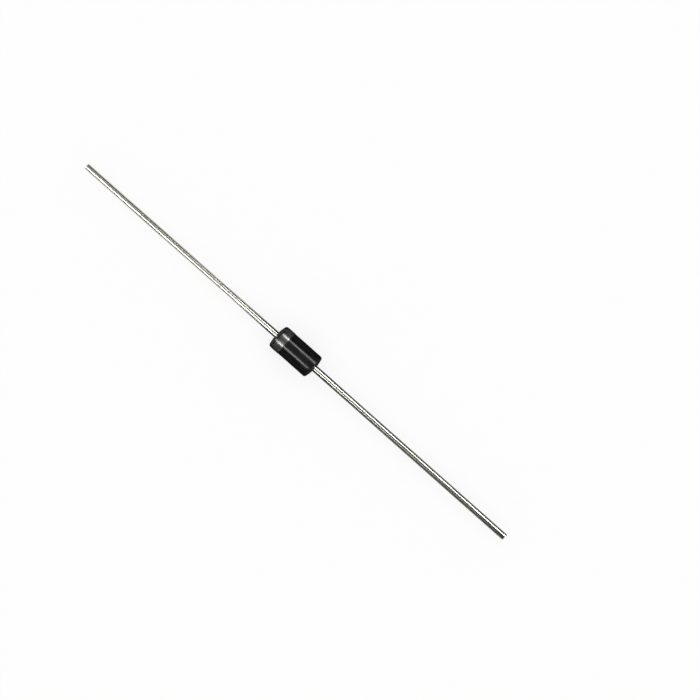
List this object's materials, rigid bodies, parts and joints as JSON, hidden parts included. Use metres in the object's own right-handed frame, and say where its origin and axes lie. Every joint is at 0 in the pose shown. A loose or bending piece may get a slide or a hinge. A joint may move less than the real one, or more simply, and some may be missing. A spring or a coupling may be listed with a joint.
{
  "type": "axial rectifier diode",
  "caption": "Axial rectifier diode: a glossy black moulded cylinder with a silver cathode ring near one end and a straight tinned wire lead out of the middle of each end.",
  "frame": {"origin": "centre of the moulded body, which is also the middle of the whole diode", "axes": "+X along the leads towards the cathode, the ringed end; +Y and +Z across the leads, with the mould seam in the XY plane"},
  "size_m": [0.0568, 0.0028, 0.0026],
  "materials": {
    "black_epoxy": "satin",
    "tinned_copper": "satin",
    "silver_ink": "satin",
    "silicone_rubber": "satin",
    "silicon": "polished",
    "solder": "satin"
  },
  "bodies": {
    "root": {"moulded_body": "black_epoxy", "cathode_lead": "tinned_copper", "anode_lead": "tinned_copper", "silicon_chip": "silicon", "cathode_solder": "solder", "anode_solder": "solder", "junction_coating": "silicone_rubber", "cathode_band": "silver_ink"}
  },
  "joints": []
}
